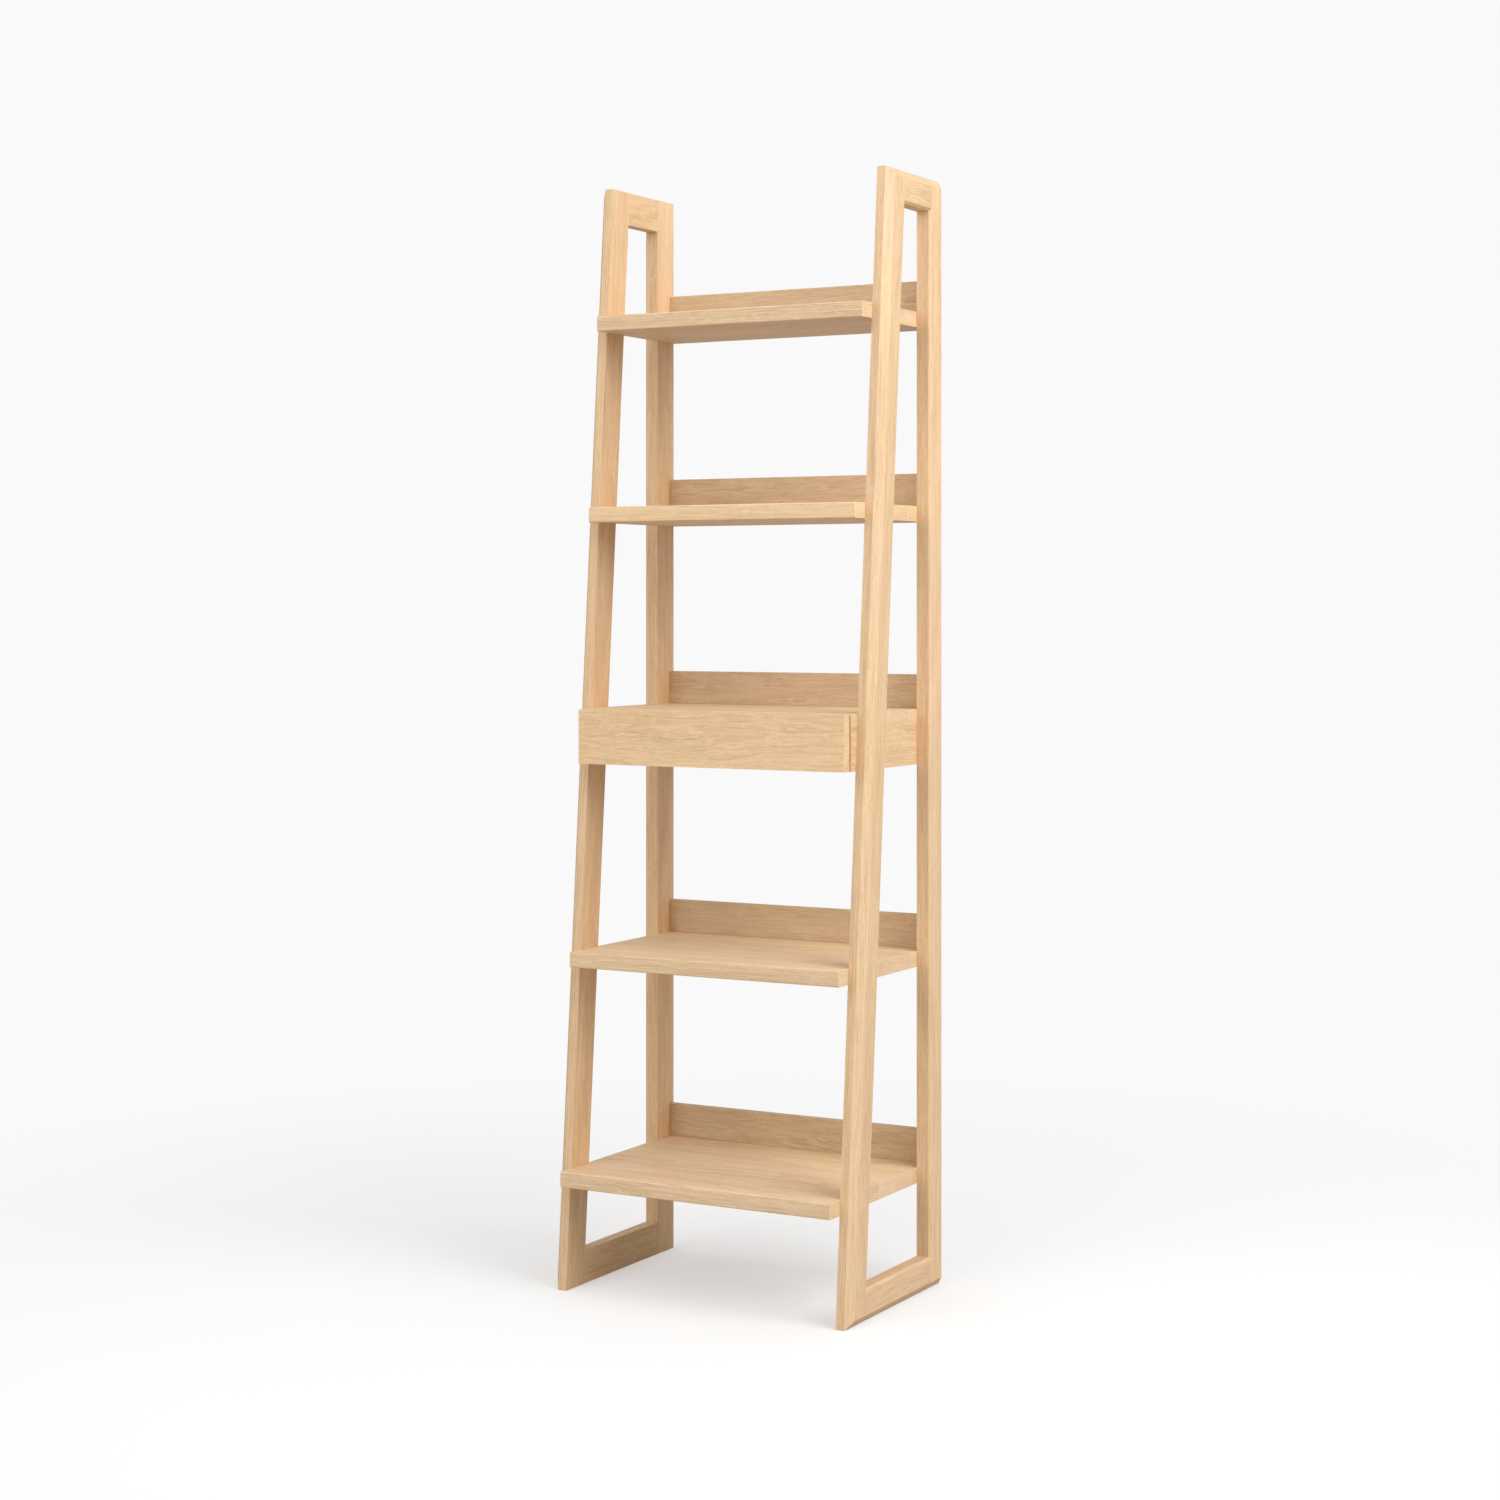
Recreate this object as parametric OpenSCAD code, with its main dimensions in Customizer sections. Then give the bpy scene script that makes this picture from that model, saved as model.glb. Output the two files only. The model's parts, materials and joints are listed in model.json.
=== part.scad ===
// Ladder shelf: two leaning side frames, four shelves and a shallow drawer unit.
// X runs across the width, +Y towards the wall, +Z up. The origin is on the floor,
// midway across the width and midway between the wall plane and the lowest shelf's front edge.

/* [Overall] */
// Height of the side frames
height = 2000; // [1950:10:2100]
// Width across both side frames
width = 600; // [560:10:680]
// Depth from the wall plane to the front edge of the bottom shelf
depth = 400; // [396:1:404]
// Depth of a side frame at the floor
foot_depth = 380; // [376:1:384]
// Depth of a side frame at the top
head_depth = 220; // [210:1:230]

/* [Side frames] */
// Thickness of the legs and rails, across the width
frame_t = 28; // [27:1:32]
// Width of the legs and rails, in the plane of the frame
member_w = 60; // [58:1:64]
// How much the outer bevel takes off the frame's edge
bevel_edge = 12; // [8:1:14]
// How much the outer bevel takes off the frame's outer face
bevel_face = 15; // [8:1:18]
// Width of the small bevel around the frame's opening
opening_bevel = 4.5; // [2:0.5:6]
// Height of the rails' tenons
tenon_h = 40; // [30:1:42]
// Thickness of the rails' tenons
tenon_t = 10; // [8:1:11]
// Length of the rails' tenons
tenon_l = 30; // [20:1:34]

/* [Levels] */
// Height of the bottom shelf's top face
bottom_shelf_z = 218; // [200:1:240]
// Height of the lower shelf's top face
lower_shelf_z = 608; // [590:1:630]
// Height of the drawer unit's top face
unit_z = 1044.5; // [1020:0.5:1060]
// Height of the upper shelf's top face
upper_shelf_z = 1410; // [1390:1:1430]
// Height of the top shelf's top face
top_shelf_z = 1760; // [1740:1:1780]
// Thickness of a plain shelf
shelf_t = 28; // [26:1:32]
// Radius on the front edges of the shelves
shelf_ease = 2.5; // [1:0.5:4]
// Height of an upstand above its shelf
upstand_h = 61; // [40:1:80]
// Thickness of an upstand
upstand_t = 14; // [12:1:18]
// Gap between an upstand's end and the side frame
upstand_gap = 0.5; // [0.3:0.1:1]

/* [Drawer unit] */
// Height of the drawer unit
unit_h = 99.5; // [96:0.5:104]
// Thickness of the unit's top board
unit_top_t = 20; // [19:1:22]
// Thickness of the unit's side panels
unit_side_t = 16; // [15:1:18]
// Thickness of the unit's back panel
unit_back_t = 12; // [10:1:14]
// How far the unit stands in front of the leg, at its top face
unit_overhang = 24; // [18:1:24]
// Thickness of the drawer front
front_t = 20; // [18:1:24]
// How far the drawer front's top edge lies under the unit's top face
front_drop = 1.5; // [0.5:0.5:4]
// Gap between the drawer front and the unit
front_gap = 2; // [2:0.5:3]
// Gap between each end of the drawer front and the side frame
front_end_gap = 3; // [2:0.5:4]

/* [Drawer box] */
// Height of the drawer box
box_h = 56; // [54:1:57]
// Thickness of the drawer box's boards
box_t = 12; // [11:1:13]
// Length of the drawer box, front to back
box_l = 300; // [296:1:302]
// Gap between the unit's top board and the drawer box
box_head_gap = 8; // [6:1:9]
// Thickness of the drawer's bottom panel
bottom_t = 6; // [5:1:7]
// Depth of the groove that holds the bottom panel
groove_d = 6; // [4:1:7]

/* [Runners] */
// Thickness of a closed runner
runner_t = 12.7; // [12.7:0.1:13]
// Height of the cabinet member
runner_h = 35; // [35:0.5:36]
// Length of each runner member
runner_l = 296; // [290:1:298]

/* [Hidden] */
$fn = 48;

oak = [0.87, 0.73, 0.56];
oak_inside = [0.80, 0.66, 0.49];
beech = [0.85, 0.70, 0.50];
zinc = [0.75, 0.76, 0.78];
pale_rubber = [0.85, 0.85, 0.82];
black_plastic = [0.15, 0.15, 0.16];

// Frame geometry: the wall plane, the leaning front line and the frames' inner faces.
wall_y = depth / 2;
foot_y = wall_y - foot_depth;
slope = (foot_depth - head_depth) / height;
lean = atan(slope);
inner_x = width / 2 - frame_t;
reach = 2 * height;
spare = 5;
tenon_inset = 7;
shelf_overhang = depth - foot_depth + slope * bottom_shelf_z;
function leg_front(z) = foot_y + slope * z;

// Levels from the floor up: the height of each top face and the board's thickness.
level_z = [bottom_shelf_z, lower_shelf_z, unit_z, upper_shelf_z, top_shelf_z];
level_t = [shelf_t, shelf_t, unit_top_t, shelf_t, shelf_t];
unit_level = 2;
last_level = len(level_z) - 1;

// Cam fittings and dowels, measured from the outer edge of the leg that they enter.
cam_edge = 20;
dowel_edge = 42;
cam_centre = 34;
cam_bolt_r = 3;
cam_bolt_in_leg = 11;
cam_bolt_hole_r = 3.1;
cam_bore_r = 4;
cam_neck_r = 2;
cam_head_r = 3.4;
cam_head_l = 3;
cam_head_back = 2;
cam_gap = 0.4;
cam_cross = [9, 1.6, 2.2];
cam_disc_r = 7.4;
cam_above_axis = 4.5;
cam_slack = 0.2;
dowel_r = 4;
dowel_in_leg = 12;
dowel_in_shelf = 18;
small_dowel_r = 3;
small_dowel_in = 12;
thin_dowel_in = 9;
upstand_dowel_pitch = 200;

// Drawer unit: its inner width, its front plane and the drawer box inside it.
unit_bottom_z = unit_z - unit_h;
unit_front_y = leg_front(unit_z) - unit_overhang;
unit_inner_x = inner_x - unit_side_t;
side_h = unit_h - unit_top_t;
unit_dowel_ys = [unit_front_y + 15, 40, wall_y - 60];
back_dowel_zs = [unit_bottom_z + 18, unit_bottom_z + 58];
unit_screw_zs = [unit_bottom_z + 8, unit_bottom_z + 67];
unit_screw_r = 2;
unit_screw_head_r = 4;
unit_screw_head_l = 2.4;
unit_screw_in_leg = 14;
front_back_y = unit_front_y - front_gap;
box_x = unit_inner_x - runner_t;
box_top_z = unit_z - unit_top_t - box_head_gap;
box_z = box_top_z - box_h;
box_end_y = front_back_y + box_l;
tail_root = 7;
tail_end = 9.5;
tail_zs = [box_z + box_h / 4, box_z + 3 * box_h / 4];
panel_z = box_z + 8;
pull_r = 8;
pull_l = 240;
front_screw_xs = [-160, 160];
front_screw_zs = [panel_z + bottom_t + 8, box_top_z - 9];
front_screw_r = 2;
front_screw_head_r = 4;
front_screw_head_l = 2.4;
front_screw_in = 14;
front_screw_cross = [4.4, 1, 1.2];
pad_r = 4;
pad_t = 1.6;
pad_edge = 10;

// Runner sections: u is the distance from the unit's side panel, w the height from the axis.
runner_z = box_z + 26;
runner_front_y = unit_front_y + 2;
cabinet_sheet = 1.2;
middle_sheet = 1;
cage_sheet = 0.6;
flange_u = 11;
middle_u = 3;
middle_h = 12.9;
drawer_flange_u = 5.5;
drawer_h = 8.4;
ball_r = 1.4;
ball_count = 6;
ball_pitch = 24;
cage_l = 140;
cage_start = 80;
outer_cage_u = 1.8;
outer_cage_end_u = 9;
outer_ball = [6.5, 14.6];
inner_cage_u = 4.4;
inner_cage_end_u = 10;
inner_ball = [7.5, 10.1];
runner_screw_ys = [35, 148, 261];
runner_screw_r = 1.75;
runner_screw_head_r = 3.2;
runner_screw_l = 10;

// ---------- shared shapes ----------

// Prism of a side-view outline [y, z], from x0 over length l along X.
module side_prism(outline, x0, l) {
    translate([x0, 0, 0])
        rotate([90, 0, 90])
            linear_extrude(l)
                polygon(outline);
}

// Round bar along X from x0 to x1, with end radii r0 and r1.
module x_bar(x0, x1, y, z, r0, r1) {
    translate([x0, y, z])
        rotate([0, 90, 0])
            cylinder(h = x1 - x0, r1 = r0, r2 = r1);
}

// The children as they stand on the right, then their mirror image on the left.
module on_both_sides() {
    children();
    mirror([1, 0, 0]) children();
}

// Long prism along one edge of a frame. The edge passes through the side-view point at,
// and angle turns the section's second axis from +Y towards +Z, pointing off the edge.
module edge_prism(at, angle, section) {
    translate([inner_x, at[0], at[1]])
        rotate([angle, 0, 0])
            translate([0, 0, -reach])
                linear_extrude(2 * reach)
                    polygon(section);
}

// The four edges of a frame shape whose members are w wide: front, rear, bottom and top.
module frame_edges(w, section) {
    intersection() {
        edge_prism([foot_y + w, 0], -lean, section);
        edge_prism([wall_y - w, 0], 180, section);
        edge_prism([0, w], 90, section);
        edge_prism([0, height - w], -90, section);
    }
}

// ---------- side frames, drawn on the right ----------

// The whole frame's outline with the wide bevel around its outer face.
module frame_blank() {
    frame_edges(0, [
        [0, 0],
        [frame_t - bevel_edge, 0],
        [frame_t, bevel_face],
        [frame_t, reach],
        [0, reach]
    ]);
}

// The material that the small bevel takes off around the opening.
module opening_flare() {
    frame_edges(member_w, [
        [frame_t - opening_bevel - spare, spare],
        [frame_t + spare, -opening_bevel - spare],
        [frame_t + spare, reach],
        [frame_t - opening_bevel - spare, reach]
    ]);
}

// One member of the frame, cut from the bevelled blank.
module frame_member(outline) {
    difference() {
        intersection() {
            frame_blank();
            side_prism(outline, inner_x - spare, frame_t + 2 * spare);
        }
        opening_flare();
    }
}

// Bar that is both tenons of a rail centred at height z.
module tenon_bar(z) {
    y0 = leg_front(z) + member_w - tenon_l;
    y1 = wall_y - member_w + tenon_l;
    translate([inner_x + tenon_inset, y0, z - tenon_h / 2])
        cube([tenon_t, y1 - y0, tenon_h]);
}

// Rail between heights z0 and z1, with its tenons at height tenon_z.
module rail(z0, z1, tenon_z) {
    union() {
        frame_member([
            [leg_front(z0) + member_w, z0],
            [wall_y - member_w, z0],
            [wall_y - member_w, z1],
            [leg_front(z1) + member_w, z1]
        ]);
        tenon_bar(tenon_z);
    }
}

// Holes in the frame's inner face for one level's fittings at side-view depth y.
module level_holes(i, cam_y, dowel_y) {
    z = level_z[i] - level_t[i] / 2;
    x_bar(inner_x - 1, inner_x + cam_bolt_in_leg, cam_y, z, cam_bolt_hole_r, cam_bolt_hole_r);
    x_bar(inner_x - 1, inner_x + dowel_in_leg, dowel_y, z, dowel_r, dowel_r);
}

module leg_screw_holes(is_front) {
    for (z = unit_screw_zs) {
        y = is_front ? leg_front(z) + member_w / 2 : wall_y - member_w / 2;
        x_bar(inner_x - 1, inner_x + unit_screw_in_leg, y, z, unit_screw_r, unit_screw_r);
    }
}

module front_leg() {
    color(oak)
        difference() {
            frame_member([
                [foot_y - spare, -spare],
                [leg_front(-spare) + member_w, -spare],
                [leg_front(height + spare) + member_w, height + spare],
                [foot_y - spare, height + spare]
            ]);
            tenon_bar(member_w / 2);
            tenon_bar(height - member_w / 2);
            for (i = [0 : last_level])
                level_holes(i, front_y(i, cam_edge), front_y(i, dowel_edge));
            leg_screw_holes(true);
        }
}

module rear_leg() {
    color(oak)
        difference() {
            frame_member([
                [wall_y - member_w, -spare],
                [wall_y + spare, -spare],
                [wall_y + spare, height + spare],
                [wall_y - member_w, height + spare]
            ]);
            tenon_bar(member_w / 2);
            tenon_bar(height - member_w / 2);
            for (i = [0 : last_level])
                level_holes(i, wall_y - cam_edge, wall_y - dowel_edge);
            leg_screw_holes(false);
        }
}

module top_rail() {
    color(oak) rail(height - member_w, height + spare, height - member_w / 2);
}

module bottom_rail() {
    color(oak) rail(-spare, member_w, member_w / 2);
}

// ---------- cam fittings and dowels ----------

// Depth of a fitting in the front leg at level i, measured in from the leg's front edge.
function front_y(i, edge) = leg_front(level_z[i] - level_t[i] / 2) + edge;

// Depths of the two cam fittings and of the two dowels on one side of level i.
function cam_ys(i) = [front_y(i, cam_edge), wall_y - cam_edge];
function dowel_ys(i) = [front_y(i, dowel_edge), wall_y - dowel_edge];

module cam_bolt(y, z) {
    neck_x = inner_x - cam_centre + cam_disc_r + cam_slack;
    head_x = inner_x - cam_centre - cam_head_back;
    x_bar(neck_x, inner_x + cam_bolt_in_leg, y, z, cam_bolt_r, cam_bolt_r);
    x_bar(head_x, neck_x, y, z, cam_neck_r, cam_neck_r);
    x_bar(head_x, head_x + cam_head_l, y, z, cam_head_r, cam_head_r);
}

// Cross-shaped recess in a face at z = 0. size is its length, width and depth.
module cross_recess(size) {
    for (a = [0, 90])
        rotate([0, 0, a])
            translate([-size[0] / 2, -size[1] / 2, -1])
                cube([size[0], size[1], size[2] + 1]);
}

// Cam disc whose open face is flush with the underside at height z, in a board t thick.
module cam_disc(y, z, t) {
    head_room = cam_head_r + cam_gap;
    neck_room = cam_neck_r + cam_gap;
    translate([inner_x - cam_centre, y, z])
        difference() {
            cylinder(h = t / 2 + cam_above_axis, r = cam_disc_r);
            translate([-cam_head_back - cam_gap, -head_room, t / 2 - head_room])
                cube([cam_head_l + 2 * cam_gap, 2 * head_room, 2 * head_room]);
            translate([0, -neck_room, t / 2 - neck_room])
                cube([cam_disc_r + 1, 2 * neck_room, 2 * neck_room]);
            cross_recess(cam_cross);
        }
}

// Holes in one board of thickness t at level i, for its cam fittings and dowels.
module board_holes(i) {
    t = level_t[i];
    under_z = level_z[i] - t;
    mid_z = level_z[i] - t / 2;
    on_both_sides() {
        for (y = cam_ys(i)) {
            x_bar(inner_x - cam_centre, inner_x + 1, y, mid_z, cam_bore_r, cam_bore_r);
            translate([inner_x - cam_centre, y, under_z - 1])
                cylinder(h = 1 + t / 2 + cam_above_axis + cam_slack, r = cam_disc_r + cam_slack / 2);
        }
        for (y = dowel_ys(i))
            x_bar(inner_x - dowel_in_shelf, inner_x + 1, y, mid_z, dowel_r, dowel_r);
    }
    for (x = [-1 : 1])
        translate([x * upstand_dowel_pitch, wall_y - upstand_t / 2, level_z[i] - small_dowel_in])
            cylinder(h = small_dowel_in + 1, r = small_dowel_r);
}

module cam_bolts() {
    color(zinc)
        on_both_sides()
            for (i = [0 : last_level])
                for (y = cam_ys(i))
                    cam_bolt(y, level_z[i] - level_t[i] / 2);
}

module cam_discs() {
    color(zinc)
        on_both_sides()
            for (i = [0 : last_level])
                for (y = cam_ys(i))
                    cam_disc(y, level_z[i] - level_t[i], level_t[i]);
}

module shelf_dowels() {
    color(beech)
        on_both_sides()
            for (i = [0 : last_level])
                for (y = dowel_ys(i))
                    x_bar(inner_x - dowel_in_shelf, inner_x + dowel_in_leg, y,
                          level_z[i] - level_t[i] / 2, dowel_r, dowel_r);
}

module upstand_dowels() {
    color(beech)
        for (z = level_z)
            for (x = [-1 : 1])
                translate([x * upstand_dowel_pitch, wall_y - upstand_t / 2, z - small_dowel_in])
                    cylinder(h = 2 * small_dowel_in, r = small_dowel_r);
}

// ---------- shelves and upstands ----------

// Rectangle l by t whose corners at its low first coordinate are rounded to radius r.
module eased_end(l, t, r) {
    translate([r, 0]) square([l - r, t]);
    translate([0, r]) square([l, t - 2 * r]);
    for (v = [r, t - r])
        translate([r, v]) circle(r);
}

// Shelf board at level i with rounded front edges and rounded front corners.
module shelf(i) {
    z = level_z[i];
    front = leg_front(z) - shelf_overhang;
    color(oak)
        difference() {
            intersection() {
                translate([-inner_x, front, z - shelf_t])
                    rotate([90, 0, 90])
                        linear_extrude(2 * inner_x)
                            eased_end(wall_y - front, shelf_t, shelf_ease);
                translate([inner_x, front, z - shelf_t])
                    rotate([0, 0, 90])
                        linear_extrude(shelf_t)
                            eased_end(wall_y - front, 2 * inner_x, shelf_ease);
            }
            board_holes(i);
        }
}

module upstand(i) {
    l = 2 * (inner_x - upstand_gap);
    color(oak)
        translate([-l / 2, wall_y - upstand_t, level_z[i]])
            difference() {
                cube([l, upstand_t, upstand_h]);
                for (x = [-1 : 1])
                    translate([l / 2 + x * upstand_dowel_pitch, upstand_t / 2, -1])
                        cylinder(h = small_dowel_in + 1, r = small_dowel_r);
            }
}

// ---------- drawer unit ----------

// Upright dowels between the unit's top board and its side panels, drawn on the right.
module unit_top_dowels() {
    for (y = unit_dowel_ys)
        translate([inner_x - unit_side_t / 2, y, unit_z - unit_top_t - small_dowel_in])
            cylinder(h = 2 * small_dowel_in, r = small_dowel_r);
}

// Level dowels between the unit's back panel and its side panels, drawn on the right.
module unit_back_dowels() {
    for (z = back_dowel_zs)
        x_bar(unit_inner_x - small_dowel_in, unit_inner_x + thin_dowel_in,
              wall_y - unit_back_t / 2, z, small_dowel_r, small_dowel_r);
}

module unit_screw(y, z) {
    head_x = unit_inner_x + unit_screw_head_l;
    x_bar(unit_inner_x, head_x, y, z, unit_screw_head_r, unit_screw_r);
    x_bar(head_x, inner_x + unit_screw_in_leg, y, z, unit_screw_r, unit_screw_r);
}

// Screws through the right side panel into both right legs.
module unit_side_screws() {
    for (z = unit_screw_zs)
        for (y = [leg_front(z) + member_w / 2, wall_y - member_w / 2])
            unit_screw(y, z);
}

module unit_top() {
    color(oak)
        difference() {
            translate([-inner_x, unit_front_y, unit_z - unit_top_t])
                cube([2 * inner_x, wall_y - unit_front_y, unit_top_t]);
            board_holes(unit_level);
            on_both_sides() unit_top_dowels();
        }
}

module unit_side() {
    color(oak)
        difference() {
            translate([unit_inner_x, unit_front_y, unit_bottom_z])
                cube([unit_side_t, wall_y - unit_front_y, side_h]);
            unit_top_dowels();
            unit_back_dowels();
            unit_side_screws();
            runner_case_screws();
        }
}

module unit_back() {
    color(oak_inside)
        difference() {
            translate([-unit_inner_x, wall_y - unit_back_t, unit_bottom_z])
                cube([2 * unit_inner_x, unit_back_t, side_h]);
            on_both_sides() unit_back_dowels();
        }
}

module unit_dowels() {
    color(beech)
        on_both_sides() {
            unit_top_dowels();
            unit_back_dowels();
        }
}

module unit_screws() {
    color(zinc) on_both_sides() unit_side_screws();
}

// ---------- drawer ----------

// Dovetail tails at one end of the drawer's side. Their wide ends are at depth end_y.
module tails(end_y, root_y) {
    for (z = tail_zs)
        side_prism([
            [root_y, z - tail_root],
            [end_y, z - tail_end],
            [end_y, z + tail_end],
            [root_y, z + tail_root]
        ], box_x - box_t, box_t);
}

module both_tails() {
    tails(front_back_y, front_back_y + box_t);
    tails(box_end_y, box_end_y - box_t);
}

// Bottom panel of the drawer, which reaches into a groove in all four boards.
module bottom_panel() {
    x = box_x - box_t + groove_d;
    y0 = front_back_y + box_t - groove_d;
    y1 = box_end_y - box_t + groove_d;
    translate([-x, y0, panel_z])
        cube([2 * x, y1 - y0, bottom_t]);
}

module drawer_screws() {
    for (x = front_screw_xs)
        for (z = front_screw_zs)
            translate([x, front_back_y + box_t, z])
                rotate([90, 0, 0])
                    cylinder(h = box_t + front_screw_in, r = front_screw_r);
}

module drawer_front() {
    l = 2 * (inner_x - front_end_gap);
    color(oak)
        difference() {
            translate([-l / 2, front_back_y - front_t, unit_bottom_z])
                cube([l, front_t, unit_h - front_drop]);
            x_bar(-pull_l / 2, pull_l / 2, front_back_y, unit_bottom_z + pull_r, pull_r, pull_r);
            drawer_screws();
        }
}

// Board across the drawer box whose outer face is at depth y.
module box_end(y) {
    translate([-box_x, y, box_z])
        cube([2 * box_x, box_t, box_h]);
}

module drawer_inner_front() {
    color(oak_inside)
        difference() {
            box_end(front_back_y);
            on_both_sides() both_tails();
            bottom_panel();
            drawer_screws();
        }
}

module drawer_back() {
    color(oak_inside)
        difference() {
            box_end(box_end_y - box_t);
            on_both_sides() both_tails();
            bottom_panel();
        }
}

module drawer_side() {
    color(oak_inside)
        difference() {
            union() {
                translate([box_x - box_t, front_back_y + box_t, box_z])
                    cube([box_t, box_l - 2 * box_t, box_h]);
                both_tails();
            }
            bottom_panel();
            runner_box_screws();
        }
}

module drawer_bottom() {
    color(oak_inside) bottom_panel();
}

module drawer_front_screws() {
    color(zinc) {
        drawer_screws();
        for (x = front_screw_xs)
            for (z = front_screw_zs)
                translate([x, front_back_y + box_t + front_screw_head_l, z])
                    rotate([90, 0, 0])
                        difference() {
                            cylinder(h = front_screw_head_l, r = front_screw_head_r);
                            cross_recess(front_screw_cross);
                        }
    }
}

// Pads on the drawer front's back, opposite the front edges of the unit's side panels.
module drawer_stop_pads() {
    color(pale_rubber)
        on_both_sides()
            for (z = [unit_bottom_z + pad_edge, unit_z - pad_edge])
                translate([inner_x - unit_side_t / 2, front_back_y + pad_t, z])
                    rotate([90, 0, 0])
                        cylinder(h = pad_t, r = pad_r);
}

// ---------- runners, drawn on the right ----------

// C-shaped section: web at u0, open towards u1, half height h, sheet thickness t.
function c_section(u0, u1, h, t) =
    let (web = u1 > u0 ? u0 + t : u0 - t)
    [
        [u0, -h], [u1, -h], [u1, t - h], [web, t - h],
        [web, h - t], [u1, h - t], [u1, h], [u0, h]
    ];

// Section [u, w] drawn out over length l, starting at distance start behind the runner's front.
module runner_bar(section, start, l) {
    translate([0, runner_front_y + start + l, 0])
        rotate([90, 0, 0])
            linear_extrude(l)
                polygon([for (p = section) [unit_inner_x - p[0], runner_z + p[1]]]);
}

// Countersunk screws that start at x and run outwards if way is 1, inwards if it is -1.
module runner_screws(x, way, sheet) {
    for (y = runner_screw_ys)
        translate([x, runner_front_y + y, runner_z])
            rotate([0, way * 90, 0]) {
                cylinder(h = sheet, r1 = runner_screw_head_r, r2 = runner_screw_r);
                translate([0, 0, sheet])
                    cylinder(h = runner_screw_l, r = runner_screw_r);
            }
}

module runner_case_screws() {
    runner_screws(unit_inner_x - cabinet_sheet, 1, cabinet_sheet);
}

module runner_box_screws() {
    runner_screws(box_x + middle_sheet, -1, middle_sheet);
}

module cabinet_runner() {
    color(zinc)
        difference() {
            runner_bar(c_section(0, flange_u, runner_h / 2, cabinet_sheet), 0, runner_l);
            runner_case_screws();
        }
}

module middle_runner() {
    color(zinc)
        runner_bar(c_section(middle_u, flange_u, middle_h, middle_sheet), 0, runner_l);
}

module drawer_runner() {
    color(zinc)
        difference() {
            runner_bar(c_section(runner_t, drawer_flange_u, drawer_h, middle_sheet), 0, runner_l);
            runner_box_screws();
        }
}

// Depths of the balls along a cage.
ball_ys = [
    for (k = [0 : ball_count - 1])
        runner_front_y + cage_start + cage_l / 2 + (k - (ball_count - 1) / 2) * ball_pitch
];

// Cage from u0 to u1 whose two strips hold the balls at ball = [u, w].
module ball_cage(u0, u1, ball) {
    color(black_plastic)
        difference() {
            runner_bar(c_section(u0, u1, ball[1] + cage_sheet / 2, cage_sheet), cage_start, cage_l);
            for (y = ball_ys)
                translate([unit_inner_x - ball[0], y, runner_z - runner_h / 2])
                    cylinder(h = runner_h, r = ball_r + 0.1);
        }
}

module balls(ball) {
    color(zinc)
        for (y = ball_ys)
            for (w = [-ball[1], ball[1]])
                translate([unit_inner_x - ball[0], y, runner_z + w])
                    sphere(r = ball_r);
}

module outer_ball_cage() {
    ball_cage(outer_cage_u, outer_cage_end_u, outer_ball);
}

module inner_ball_cage() {
    ball_cage(inner_cage_u, inner_cage_end_u, inner_ball);
}

module outer_balls() {
    balls(outer_ball);
}

module inner_balls() {
    balls(inner_ball);
}

module cabinet_runner_screws() {
    color(zinc) on_both_sides() runner_case_screws();
}

module drawer_runner_screws() {
    color(zinc) on_both_sides() runner_box_screws();
}

module left() {
    mirror([1, 0, 0]) children();
}

left() front_leg();  // left_front_leg
left() rear_leg();  // left_rear_leg
left() top_rail();  // left_top_rail
left() bottom_rail();  // left_bottom_rail
front_leg();  // right_front_leg
rear_leg();  // right_rear_leg
top_rail();  // right_top_rail
bottom_rail();  // right_bottom_rail
shelf(0);  // bottom_shelf
shelf(1);  // lower_shelf
shelf(3);  // upper_shelf
shelf(4);  // top_shelf
upstand(0);  // bottom_upstand
upstand(1);  // lower_upstand
upstand(2);  // unit_upstand
upstand(3);  // upper_upstand
upstand(4);  // top_upstand
unit_top();
left() unit_side();  // unit_left_side
unit_side();  // unit_right_side
unit_back();
drawer_front();
drawer_inner_front();
left() drawer_side();  // drawer_left_side
drawer_side();  // drawer_right_side
drawer_back();
drawer_bottom();
left() cabinet_runner();  // left_cabinet_runner
left() middle_runner();  // left_middle_runner
left() drawer_runner();  // left_drawer_runner
cabinet_runner();  // right_cabinet_runner
middle_runner();  // right_middle_runner
drawer_runner();  // right_drawer_runner
left() outer_ball_cage();  // left_outer_ball_cage
left() outer_balls();  // left_outer_balls
left() inner_ball_cage();  // left_inner_ball_cage
left() inner_balls();  // left_inner_balls
outer_ball_cage();  // right_outer_ball_cage
outer_balls();  // right_outer_balls
inner_ball_cage();  // right_inner_ball_cage
inner_balls();  // right_inner_balls
cam_bolts();
cam_discs();
shelf_dowels();
upstand_dowels();
unit_dowels();
unit_screws();
cabinet_runner_screws();
drawer_runner_screws();
drawer_front_screws();
drawer_stop_pads();
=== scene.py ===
import json
import math

import bpy
from mathutils import Matrix, Vector


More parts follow.
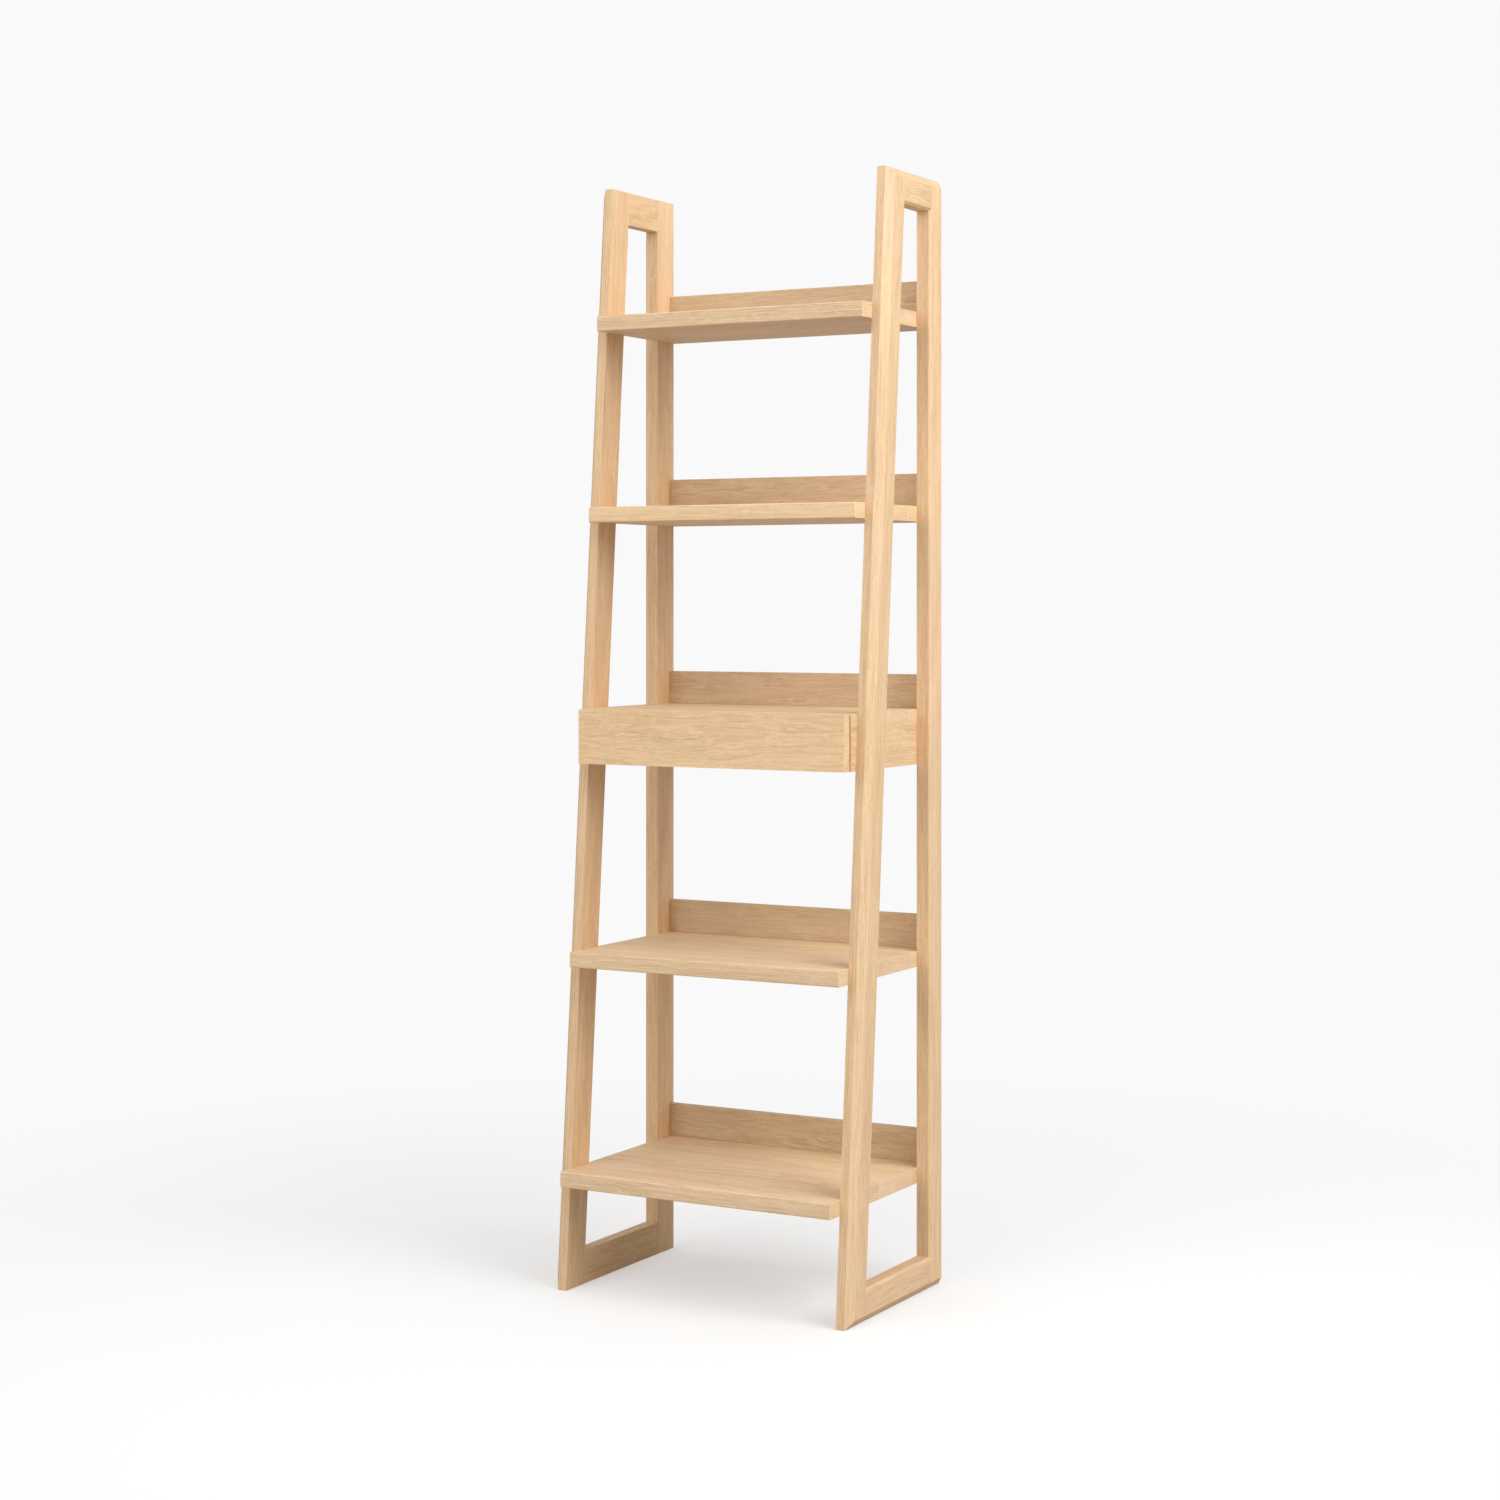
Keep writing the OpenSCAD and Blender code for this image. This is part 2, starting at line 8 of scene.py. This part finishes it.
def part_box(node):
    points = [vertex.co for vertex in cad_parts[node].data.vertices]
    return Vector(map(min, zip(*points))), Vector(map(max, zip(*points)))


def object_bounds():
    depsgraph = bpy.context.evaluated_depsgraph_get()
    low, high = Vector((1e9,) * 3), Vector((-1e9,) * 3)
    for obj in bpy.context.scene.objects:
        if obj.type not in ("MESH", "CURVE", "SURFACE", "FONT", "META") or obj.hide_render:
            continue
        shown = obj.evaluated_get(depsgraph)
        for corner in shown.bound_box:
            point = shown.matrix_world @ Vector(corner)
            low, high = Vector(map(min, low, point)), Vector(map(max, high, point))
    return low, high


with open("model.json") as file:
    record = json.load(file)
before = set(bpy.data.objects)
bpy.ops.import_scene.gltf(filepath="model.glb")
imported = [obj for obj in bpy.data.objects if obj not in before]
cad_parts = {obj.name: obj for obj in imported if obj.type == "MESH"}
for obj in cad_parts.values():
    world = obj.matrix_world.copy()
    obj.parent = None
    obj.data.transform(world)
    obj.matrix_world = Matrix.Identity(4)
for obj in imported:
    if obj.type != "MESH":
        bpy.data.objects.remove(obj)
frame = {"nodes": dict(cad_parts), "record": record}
cad_low, cad_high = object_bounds()
nodes = frame["nodes"]

X = Vector((1, 0, 0))
Y = Vector((0, 1, 0))
Z = Vector((0, 0, 1))
MM = 0.001

# Wood: linear colours of its yellow, pink and dark growth, its pores and its pale rays.
OAK = {
    "yellow": (0.825, 0.585, 0.338),
    "pink": (0.835, 0.570, 0.352),
    "dark": (0.500, 0.295, 0.140),
    "pore": (0.360, 0.205, 0.095),
    "ray": (0.880, 0.660, 0.430),
}
BEECH = {
    "yellow": (0.700, 0.460, 0.260),
    "pink": (0.710, 0.440, 0.260),
    "dark": (0.600, 0.360, 0.185),
    "pore": (0.560, 0.330, 0.170),
    "ray": (0.720, 0.490, 0.290),
}

# The figure of the wood, in millimetres.
RING_MM = 4.2
STAVE_MM = 68.0
PITH_MM = 110.0
STAVE_PITH_MM = 260.0

# How far each part of the figure darkens the wood, and how strongly each mark covers it.
STREAK_DEPTH = 1.50
FIBRE_DEPTH = 0.70
CLOUD_DEPTH = 0.60
STAVE_DEPTH = 0.22
RAY_COVER = 0.35
DASH_COVER = 0.30
PORE_COVER = 0.45
GLUE_COVER = 0.25

# Edge radii of the wooden boards, in metres. A board with a crisp edge keeps the CAD's own shape.
CRISP_EDGE = 0.0
FRAME_EDGE = 0.6 * MM
BOARD_EDGE = 0.8 * MM
# Radius within which the wood shader paints a highlight along every edge, in metres.
HIGHLIGHT_EDGE_RADIUS = 1.6 * MM

# Studio: the camera stands at eye height, a touch to the right of the line to the object's middle.
CAMERA_AZIMUTH = math.radians(28.98)
CAMERA_DISTANCE = 4.933
CAMERA_RIGHT = 0.0055
EYE_HEIGHT = 1.233
LENS_MM = 65.6
SHIFT_Y = -0.0971
LIGHT_ABOVE = 0.61
LIGHT_BELOW = 0.44
BACKDROP = 0.95
SOFTBOX_DISTANCE = 4.2
SOFTBOX_SIZE = 3.2
KEY_TOWARD = Vector((0.85, -0.20, 0.62))
KEY_POWER = 136.0
FILL_TOWARD = Vector((-0.20, -0.90, 0.50))
FILL_POWER = 58.0
FLOOR_RADIUS = 3.0
FLOOR_FADE = (0.6, 2.4)
FLOOR_LIFT = 0.42


# ---------- node helpers ----------

class Graph:
    """Adds nodes to a tree and wires them. A value can be a socket or a constant."""

    def __init__(self, tree):
        self.tree = tree

    def node(self, kind, inputs=(), **settings):
        made = self.tree.nodes.new(kind)
        for name, value in settings.items():
            setattr(made, name, value)
        for key, value in dict(inputs).items():
            self.plug(made.inputs[key], value)
        return made

    def plug(self, socket, value):
        if isinstance(value, bpy.types.NodeSocket):
            self.tree.links.new(value, socket)
        else:
            socket.default_value = value

    def math(self, operation, *values, clamp=False):
        made = self.node("ShaderNodeMath", dict(enumerate(values)), operation=operation)
        made.use_clamp = clamp
        return made.outputs[0]

    def vector(self, operation, *values):
        made = self.node("ShaderNodeVectorMath", dict(enumerate(values)), operation=operation)
        return made.outputs["Value" if operation in ("LENGTH", "DOT_PRODUCT") else "Vector"]

    def centred(self, value):
        """A value that runs from 0 to 1, moved to run from -0.5 to 0.5."""
        return self.math("SUBTRACT", value, 0.5)

    def centred_vector(self, value):
        return self.vector("SUBTRACT", value, (0.5, 0.5, 0.5))

    def split(self, vector):
        return self.node("ShaderNodeSeparateXYZ", {0: vector}).outputs

    def join(self, x, y, z):
        return self.node("ShaderNodeCombineXYZ", {0: x, 1: y, 2: z}).outputs[0]

    def noise(self, vector, cell, seed, detail=2.0, rough=0.5):
        """Noise whose cells measure cell, in the vector's own units. Returns its value and its colour."""
        placed = self.vector("DIVIDE", vector, cell)
        made = self.node(
            "ShaderNodeTexNoise",
            {"Vector": placed, "W": seed, "Scale": 1.0, "Detail": detail, "Roughness": rough},
            noise_dimensions="4D",
        )
        return made.outputs[0], made.outputs[1]

    def span(self, value, low, high, to_low=0.0, to_high=1.0, smooth=False):
        made = self.node(
            "ShaderNodeMapRange",
            {"Value": value, "From Min": low, "From Max": high, "To Min": to_low, "To Max": to_high},
            interpolation_type="SMOOTHSTEP" if smooth else "LINEAR",
        )
        return made.outputs[0]

    def mix(self, factor, a, b, blend="MIX"):
        made = self.node("ShaderNodeMix", data_type="RGBA", blend_type=blend)
        for key, value in (("Factor_Float", factor), ("A_Color", a), ("B_Color", b)):
            socket = next(s for s in made.inputs if s.identifier == key)
            self.plug(socket, value)
        return next(s for s in made.outputs if s.identifier == "Result_Color")


def rgba(colour):
    return (*colour, 1.0)


def new_group(name, inputs, outputs):
    """Node group with the named sockets. Returns its tree, a Graph and its input sockets."""
    tree = bpy.data.node_groups.new(name, "ShaderNodeTree")
    for label, kind in inputs:
        tree.interface.new_socket(label, in_out="INPUT", socket_type=kind)
    for label, kind in outputs:
        tree.interface.new_socket(label, in_out="OUTPUT", socket_type=kind)
    graph = Graph(tree)
    return tree, graph, graph.node("NodeGroupInput").outputs


def new_material(name):
    """Empty material with a Principled shader. Returns the material, a Graph and the shader."""
    material = bpy.data.materials.new(name)
    material.use_nodes = True
    tree = material.node_tree
    tree.nodes.clear()
    graph = Graph(tree)
    shader = graph.node("ShaderNodeBsdfPrincipled")
    graph.node("ShaderNodeOutputMaterial", {"Surface": shader.outputs[0]})
    return material, graph, shader


# ---------- wood ----------

def make_staves():
    """Turns one wide board into staves: each has its own place in the log and its own tone."""
    tree, g, given = new_group(
        "staves",
        [("Vector", "NodeSocketVector"), ("Seed", "NodeSocketFloat")],
        [("Vector", "NodeSocketVector"), ("Tone", "NodeSocketFloat"), ("Glue", "NodeSocketFloat")],
    )
    x, y, z = g.split(given["Vector"])
    along = g.math("DIVIDE", y, STAVE_MM)
    number = g.math("FLOOR", along)
    within = g.math("SUBTRACT", along, g.math("ADD", number, 0.5))
    pick = g.node(
        "ShaderNodeTexWhiteNoise", {"Vector": g.join(number, given["Seed"], 0.0)}, noise_dimensions="3D"
    )
    tone, colour = pick.outputs
    drift = g.split(g.centred_vector(colour))
    new_x = g.math("MULTIPLY_ADD", drift[0], 1900.0, x)
    new_y = g.math("MULTIPLY_ADD", within, STAVE_MM, g.math("MULTIPLY", drift[1], 90.0))
    new_z = g.math("MULTIPLY_ADD", drift[2], 60.0, z)
    edge = g.math("MULTIPLY", g.math("SUBTRACT", 0.5, g.math("ABSOLUTE", within)), STAVE_MM)
    out = {
        "Vector": g.join(new_x, new_y, new_z),
        "Tone": g.centred(tone),
        "Glue": g.span(edge, 0.10, 0.35, 1.0, 0.0),
    }
    g.node("NodeGroupOutput", out)
    return tree


GRAIN_OUTPUTS = ("Late", "Streak", "Fibre", "Pore", "Dash", "Ray", "Cloud", "Tint")


def make_grain():
    """Figure of one log: X runs along it in millimetres, and its pith is the X axis itself."""
    tree, g, given = new_group(
        "grain",
        [("Vector", "NodeSocketVector"), ("Seed", "NodeSocketFloat"), ("Wave", "NodeSocketFloat")],
        [(name, "NodeSocketFloat") for name in GRAIN_OUTPUTS],
    )
    place, seed = given["Vector"], given["Seed"]
    sway = g.noise(place, (420.0, 75.0, 75.0), seed, detail=1.0)[1]
    ripple = g.noise(place, (60.0, 17.0, 17.0), seed, detail=2.0)[1]
    sway = g.vector("MULTIPLY", g.centred_vector(sway), (0, 46, 46))
    ripple = g.vector("MULTIPLY", g.centred_vector(ripple), (0, 11, 11))
    wave = g.join(given["Wave"], given["Wave"], given["Wave"])
    bent = g.vector("ADD", place, g.vector("MULTIPLY", g.vector("ADD", sway, ripple), wave))
    x, y, z = g.split(bent)
    radius = g.vector("LENGTH", g.join(0.0, y, z))
    uneven, strength = g.noise(g.join(radius, 0.0, 0.0), (16.0, 1.0, 1.0), seed, detail=1.0)
    growth = g.math("MULTIPLY_ADD", uneven, 1.8, g.math("DIVIDE", radius, RING_MM))
    phase = g.math("FRACT", growth)
    rise = g.span(phase, 0.15, 0.86, smooth=True)
    fall = g.span(phase, 0.90, 1.00, 1.0, 0.0, smooth=True)
    contrast = g.span(g.split(strength)[1], 0.35, 0.65, 0.3, 1.0)
    late = g.math("MULTIPLY", g.math("MULTIPLY", rise, fall), contrast)
    early = g.span(phase, 0.10, 0.45, 1.0, 0.0, smooth=True)
    pore = g.span(g.noise(place, (6.5, 0.34, 0.34), seed, detail=1.0)[0], 0.60, 0.68, smooth=True)
    dash = g.span(g.noise(bent, (20.0, 1.2, 1.2), seed, detail=1.0)[0], 0.55, 0.68, smooth=True)
    turn = g.math("MULTIPLY", g.math("ARCTAN2", y, z), PITH_MM)
    ray = g.noise(g.join(x, turn, radius), (16.0, 1.2, 9.0), seed, detail=1.0)[0]
    cloud, tint = g.noise(place, (300.0, 30.0, 30.0), seed, detail=2.0)
    out = {
        "Late": late,
        "Streak": g.noise(bent, (110.0, 2.4, 2.4), seed, detail=3.0, rough=0.6)[0],
        "Fibre": g.noise(bent, (34.0, 0.6, 0.6), seed, detail=2.0, rough=0.6)[0],
        "Pore": g.math("MULTIPLY", pore, g.math("MULTIPLY_ADD", early, 0.8, 0.2)),
        "Dash": g.math("MULTIPLY", dash, g.math("MULTIPLY_ADD", early, 0.7, 0.3)),
        "Ray": g.span(ray, 0.60, 0.72, smooth=True),
        "Cloud": cloud,
        "Tint": g.span(g.split(tint)[1], 0.35, 0.65),
    }
    g.node("NodeGroupOutput", out)
    return tree


STAVES = make_staves()
GRAIN = make_grain()


def board_place(g, node, along, face, pith):
    """Object place in millimetres, turned so that X runs along the grain and Z out of the broad face."""
    along, face = along.normalized(), face.normalized()
    turn = Matrix((along, face.cross(along), face))
    low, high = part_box(node)
    centre = turn @ ((low + high) / 2) / MM
    mapping = g.node(
        "ShaderNodeMapping",
        {
            "Vector": g.node("ShaderNodeTexCoord").outputs["Object"],
            "Location": Vector((0, pith[0], pith[1])) - centre,
            "Rotation": turn.to_euler("XYZ"),
            "Scale": (1 / MM, 1 / MM, 1 / MM),
        },
        vector_type="POINT",
    )
    return mapping.outputs[0]


def wood(node, along, face, seed, palette, wave=1.0, staved=False):
    """Finished wood for one board: grain along one direction, matt lacquer, pores and a painted highlight
    along its edges.
    """
    material, g, shader = new_material("wood_" + node)
    shift = (seed * 37.0) % 50.0 - 25.0
    pith = STAVE_PITH_MM if staved else PITH_MM
    place = board_place(g, node, along, face, (shift, pith + (seed * 53.0) % 40.0))
    stave_tone, glue = 0.0, 0.0
    if staved:
        staves = g.node("ShaderNodeGroup", node_tree=STAVES)
        g.plug(staves.inputs["Vector"], place)
        g.plug(staves.inputs["Seed"], seed)
        place, stave_tone, glue = staves.outputs
    grain = g.node("ShaderNodeGroup", node_tree=GRAIN)
    g.plug(grain.inputs["Vector"], place)
    g.plug(grain.inputs["Seed"], seed)
    g.plug(grain.inputs["Wave"], wave)
    late, streak, fibre, pore, dash, ray, cloud, tint = grain.outputs

    true_normal = g.node("ShaderNodeNewGeometry").outputs["Normal"]
    end_grain = g.math("ABSOLUTE", g.vector("DOT_PRODUCT", true_normal, along.normalized()))
    end_grain = g.span(end_grain, 0.6, 0.9, smooth=True)
    rings = g.math("MULTIPLY_ADD", end_grain, 0.35, 0.30)
    depth = g.math("MULTIPLY_ADD", late, rings, g.span(end_grain, 0.0, 1.0, 0.13, 0.02))
    depth = g.math("MULTIPLY_ADD", g.centred(streak), STREAK_DEPTH, depth)
    depth = g.math("MULTIPLY_ADD", g.centred(fibre), FIBRE_DEPTH, depth)
    depth = g.math("MULTIPLY_ADD", g.centred(cloud), CLOUD_DEPTH, depth)
    depth = g.math("MULTIPLY_ADD", stave_tone, STAVE_DEPTH, depth, clamp=True)
    colour = g.mix(tint, rgba(palette["yellow"]), rgba(palette["pink"]))
    colour = g.mix(depth, colour, rgba(palette["dark"]))
    colour = g.mix(g.math("MULTIPLY", ray, RAY_COVER), colour, rgba(palette["ray"]))
    for mark, cover in ((dash, DASH_COVER), (pore, PORE_COVER), (glue, GLUE_COVER)):
        colour = g.mix(g.math("MULTIPLY", mark, cover), colour, rgba(palette["pore"]))

    # Painted highlight: along every edge the wood is lightened towards the pale ray colour, in patches
    # that follow the fibre, and made a little glossier there.
    smoothed = g.node("ShaderNodeBevel", {"Radius": HIGHLIGHT_EDGE_RADIUS}, samples=4).outputs[0]
    edge = g.span(g.vector("DOT_PRODUCT", smoothed, true_normal), 0.90, 0.995, 1.0, 0.0, smooth=True)
    edge_highlight = g.math("MULTIPLY", edge, g.span(fibre, 0.35, 0.60, 0.15, 0.45))
    colour = g.mix(edge_highlight, colour, rgba(palette["ray"]))

    rough = g.math("MULTIPLY_ADD", pore, 0.18, g.span(streak, 0.3, 0.7, 0.46, 0.56))
    rough = g.math("MULTIPLY_ADD", edge_highlight, -0.10, rough)
    height = g.math("MULTIPLY_ADD", fibre, 0.35, g.math("MULTIPLY", pore, -1.0))
    height = g.math("MULTIPLY_ADD", late, 0.10, height)
    bump = g.node("ShaderNodeBump", {"Height": height, "Strength": 0.35, "Distance": 0.12 * MM})
    g.plug(shader.inputs["Base Color"], colour)
    g.plug(shader.inputs["Roughness"], rough)
    g.plug(shader.inputs["Normal"], bump.outputs[0])
    shader.inputs["Specular IOR Level"].default_value = 0.35
    return material


def tinted(palette, red, green, blue):
    """A copy of a palette with each of its colours shifted a little; finish_boards uses such copies to
    paint sheen, light and shade onto whole boards.
    """
    return {name: (r * red, g * green, b * blue) for name, (r, g, b) in palette.items()}


# ---------- metal, plastic and rubber ----------

def drawn_metal(name, colour, rough, along, spread):
    """Plated steel with fine marks along one axis and a faint mottle."""
    material, g, shader = new_material(name)
    place = g.vector("DIVIDE", g.node("ShaderNodeTexCoord").outputs["Object"], (MM,) * 3)
    cell = [0.18, 0.18, 0.18]
    cell[along] = spread
    marks = g.noise(place, tuple(cell), 3.0, detail=3.0)[0]
    mottle = g.noise(place, (9.0, 9.0, 9.0), 5.0, detail=2.0)[0]
    tint = g.math("MULTIPLY_ADD", g.centred(mottle), 0.5, g.span(marks, 0.3, 0.7, 0.3, 0.7))
    darker = tuple(c * 0.82 for c in colour)
    g.plug(shader.inputs["Base Color"], g.mix(tint, rgba(darker), rgba(colour)))
    g.plug(shader.inputs["Roughness"], g.span(marks, 0.3, 0.7, rough - 0.06, rough + 0.08))
    bump = g.node("ShaderNodeBump", {"Height": marks, "Strength": 0.25, "Distance": 0.02 * MM})
    g.plug(shader.inputs["Normal"], bump.outputs[0])
    shader.inputs["Metallic"].default_value = 1.0
    return material


def moulded(name, colour, rough, grain_mm, relief_mm):
    """Moulded plastic or rubber with a fine even texture."""
    material, g, shader = new_material(name)
    place = g.vector("DIVIDE", g.node("ShaderNodeTexCoord").outputs["Object"], (MM,) * 3)
    skin = g.noise(place, (grain_mm,) * 3, 7.0, detail=3.0)[0]
    patch = g.noise(place, (6.0,) * 3, 8.0, detail=1.0)[0]
    lighter = tuple(min(1.0, c * 1.15 + 0.01) for c in colour)
    g.plug(shader.inputs["Base Color"], g.mix(g.span(patch, 0.3, 0.7), rgba(colour), rgba(lighter)))
    g.plug(shader.inputs["Roughness"], g.span(skin, 0.3, 0.7, rough - 0.05, rough + 0.08))
    bump = g.node("ShaderNodeBump", {"Height": skin, "Strength": 0.4, "Distance": relief_mm * MM})
    g.plug(shader.inputs["Normal"], bump.outputs[0])
    return material


# ---------- giving every node its material ----------

def paint(node, material):
    piece = nodes[node]
    piece.data.materials.clear()
    piece.data.materials.append(material)


def soften(node, radius):
    """Eases the sharp edges of a board. The node's own mesh stays as it is."""
    piece = nodes[node]
    weld = piece.modifiers.new("weld", "WELD")
    weld.merge_threshold = 0.01 * MM
    flat = piece.modifiers.new("flat", "DECIMATE")
    flat.decimate_type = "DISSOLVE"
    flat.angle_limit = math.radians(0.5)
    bevel = piece.modifiers.new("ease", "BEVEL")
    bevel.width = radius
    bevel.segments = 2
    bevel.limit_method = "ANGLE"
    bevel.angle_limit = math.radians(35)
    bevel.use_clamp_overlap = False
    normal = piece.modifiers.new("normals", "WEIGHTED_NORMAL")
    normal.keep_sharp = True


front_low, front_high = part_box("right_front_leg")
rear_low, rear_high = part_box("right_rear_leg")
leg_depth = rear_high.y - rear_low.y
LEAN = Vector((0, front_high.y - leg_depth - front_low.y, front_high.z)).normalized()

FRONT_LEGS = ["left_front_leg", "right_front_leg"]
REAR_LEGS = ["left_rear_leg", "right_rear_leg"]
RAILS = ["left_top_rail", "left_bottom_rail", "right_top_rail", "right_bottom_rail"]
SHELVES = ["bottom_shelf", "lower_shelf", "top_shelf", "unit_top"]
UPSTANDS = ["bottom_upstand", "lower_upstand", "unit_upstand", "upper_upstand", "top_upstand"]
UNIT_SIDES = ["unit_left_side", "unit_right_side"]
BOX_SIDES = ["drawer_left_side", "drawer_right_side"]
BOX_ENDS = ["drawer_inner_front", "drawer_back", "unit_back"]


def finish_boards():
    seed = 1.0
    # Painted sheen: the shelves and the unit top get a paler, less yellow copy of the oak, and the upper
    # shelf a brighter one, for the light their tops reflect.
    painted_sheen_oak = tinted(OAK, 1.04, 1.09, 1.14)
    painted_sheen_upper_oak = tinted(OAK, 1.08, 1.10, 1.10)
    # Painted shade: the upstands, which stand in shade under the shelves, get a darker, less red copy of
    # the oak.
    painted_shade_oak = tinted(OAK, 0.83, 0.88, 0.93)
    # Painted light: the rear legs get a lighter copy of the oak.
    painted_light_rear_oak = tinted(OAK, 1.05, 1.05, 1.05)
    plan = []
    plan += [(name, LEAN, X, OAK, 0.45, False, CRISP_EDGE) for name in FRONT_LEGS]
    plan += [(name, Z, X, painted_light_rear_oak, 0.45, False, CRISP_EDGE) for name in REAR_LEGS]
    plan += [(name, Y, X, OAK, 0.6, False, FRAME_EDGE) for name in RAILS]
    plan += [(name, X, Z, painted_sheen_oak, 0.6, True, BOARD_EDGE) for name in SHELVES]
    plan += [("upper_shelf", X, Z, painted_sheen_upper_oak, 0.6, True, BOARD_EDGE)]
    plan += [(name, X, Y, painted_shade_oak, 1.0, False, BOARD_EDGE) for name in UPSTANDS]
    plan += [(name, Y, X, tinted(OAK, 1.04, 1.04, 1.04), 0.8, False, FRAME_EDGE) for name in UNIT_SIDES]
    plan += [("drawer_front", X, Y, tinted(OAK, 1.10, 1.10, 1.09), 1.0, False, CRISP_EDGE)]
    plan += [(name, Y, X, OAK, 0.8, False, CRISP_EDGE) for name in BOX_SIDES]
    plan += [(name, X, Y, OAK, 0.8, False, FRAME_EDGE) for name in BOX_ENDS]
    plan += [("drawer_bottom", X, Z, OAK, 0.6, True, FRAME_EDGE)]
    for name, along, face, palette, wave, staved, radius in plan:
        paint(name, wood(name, along, face, seed, palette, wave, staved))
        if radius:
            soften(name, radius)
        seed += 1.7
    for name, along, face in (("shelf_dowels", X, Z), ("upstand_dowels", Z, X), ("unit_dowels", Z, X)):
        paint(name, wood(name, along, face, seed, BEECH, 0.4))
        seed += 1.7


def finish_hardware():
    strip = drawn_metal("runner_strip", (0.70, 0.71, 0.73), 0.30, 1, 40.0)
    zinc = drawn_metal("zinc_casting", (0.66, 0.67, 0.70), 0.34, 2, 1.0)
    screw = drawn_metal("zinc_screw", (0.62, 0.63, 0.66), 0.28, 2, 2.0)
    ball = drawn_metal("polished_ball", (0.80, 0.80, 0.82), 0.12, 0, 0.6)
    cage = moulded("cage_plastic", (0.018, 0.018, 0.020), 0.42, 0.5, 0.02)
    pad = moulded("pad_rubber", (0.55, 0.55, 0.52), 0.55, 0.35, 0.03)
    by_slot = {
        "runner_steel": strip, "zinc": zinc, "screw_steel": screw,
        "ball_steel": ball, "cage_plastic": cage, "pad_rubber": pad,
    }
    for part in frame["record"]["subparts"]:
        if part["material_slot"] in by_slot:
            paint(part["node"], by_slot[part["material_slot"]])


# ---------- studio ----------

def make_floor():
    """Pale floor under the object that fades into the backdrop, so that it has no hard edge."""
    bpy.ops.mesh.primitive_circle_add(vertices=96, radius=FLOOR_RADIUS, fill_type="NGON")
    floor = bpy.context.object
    floor.name = "studio_floor"
    material, g, shader = new_material("studio_floor")
    place = g.node("ShaderNodeTexCoord").outputs["Object"]
    mottle = g.noise(place, (0.5, 0.5, 0.5), 2.0, detail=3.0)[0]
    g.plug(shader.inputs["Base Color"], g.mix(mottle, rgba((0.52,) * 3), rgba((0.54,) * 3)))
    shader.inputs["Roughness"].default_value = 0.9
    shader.inputs["Specular IOR Level"].default_value = 0.1
    seen = g.node("ShaderNodeLightPath").outputs["Is Camera Ray"]
    lift = g.node("ShaderNodeEmission", {"Strength": g.math("MULTIPLY", seen, FLOOR_LIFT)})
    lit = g.node("ShaderNodeAddShader", {0: shader.outputs[0], 1: lift.outputs[0]})
    away = g.span(g.vector("LENGTH", place), *FLOOR_FADE, smooth=True)
    clear = g.node("ShaderNodeBsdfTransparent")
    mixed = g.node("ShaderNodeMixShader", {0: away, 1: lit.outputs[0], 2: clear.outputs[0]})
    output = next(n for n in g.tree.nodes if n.type == "OUTPUT_MATERIAL")
    g.plug(output.inputs["Surface"], mixed.outputs[0])
    floor.data.materials.append(material)


def make_sky():
    """Soft light from all round, a little dimmer from below, in front of a plain near-white backdrop."""
    world = bpy.data.worlds.new("studio")
    bpy.context.scene.world = world
    world.use_nodes = True
    world.node_tree.nodes.clear()
    g = Graph(world.node_tree)
    height = g.split(g.node("ShaderNodeTexCoord").outputs["Generated"])[2]
    strength = g.span(height, -0.2, 0.2, LIGHT_BELOW, LIGHT_ABOVE, smooth=True)
    light = g.node("ShaderNodeBackground", {"Color": rgba((1.0,) * 3), "Strength": strength})
    seen = g.node("ShaderNodeBackground", {"Color": rgba((1.0,) * 3), "Strength": BACKDROP})
    camera_ray = g.node("ShaderNodeLightPath").outputs["Is Camera Ray"]
    mixed = g.node("ShaderNodeMixShader", {0: camera_ray, 1: light.outputs[0], 2: seen.outputs[0]})
    g.node("ShaderNodeOutputWorld", {"Surface": mixed.outputs[0]})


def make_softbox(name, toward, power):
    """Square area light that faces the object's middle from the direction toward."""
    centre = (cad_low + cad_high) / 2
    data = bpy.data.lights.new(name, "AREA")
    data.size = SOFTBOX_SIZE
    data.energy = power
    lamp = bpy.data.objects.new(name, data)
    bpy.context.scene.collection.objects.link(lamp)
    way = toward.normalized()
    lamp.location = centre + way * SOFTBOX_DISTANCE
    lamp.rotation_euler = way.to_track_quat("Z", "Y").to_euler()
    lamp.visible_camera = False


def make_camera():
    data = bpy.data.cameras.new("camera")
    data.sensor_width = 36.0
    data.lens = LENS_MM
    data.shift_y = SHIFT_Y
    camera = bpy.data.objects.new("camera", data)
    bpy.context.scene.collection.objects.link(camera)
    right = Vector((math.cos(CAMERA_AZIMUTH), math.sin(CAMERA_AZIMUTH), 0))
    back = Vector((math.sin(CAMERA_AZIMUTH), -math.cos(CAMERA_AZIMUTH), 0))
    camera.location = back * CAMERA_DISTANCE + right * CAMERA_RIGHT + Z * EYE_HEIGHT
    camera.rotation_euler = (math.radians(90), 0, CAMERA_AZIMUTH)
    bpy.context.scene.camera = camera


make_camera()
finish_boards()
finish_hardware()
make_floor()
make_sky()
make_softbox("key", KEY_TOWARD, KEY_POWER)
make_softbox("fill", FILL_TOWARD, FILL_POWER)
bpy.context.scene.view_settings.view_transform = "Standard"
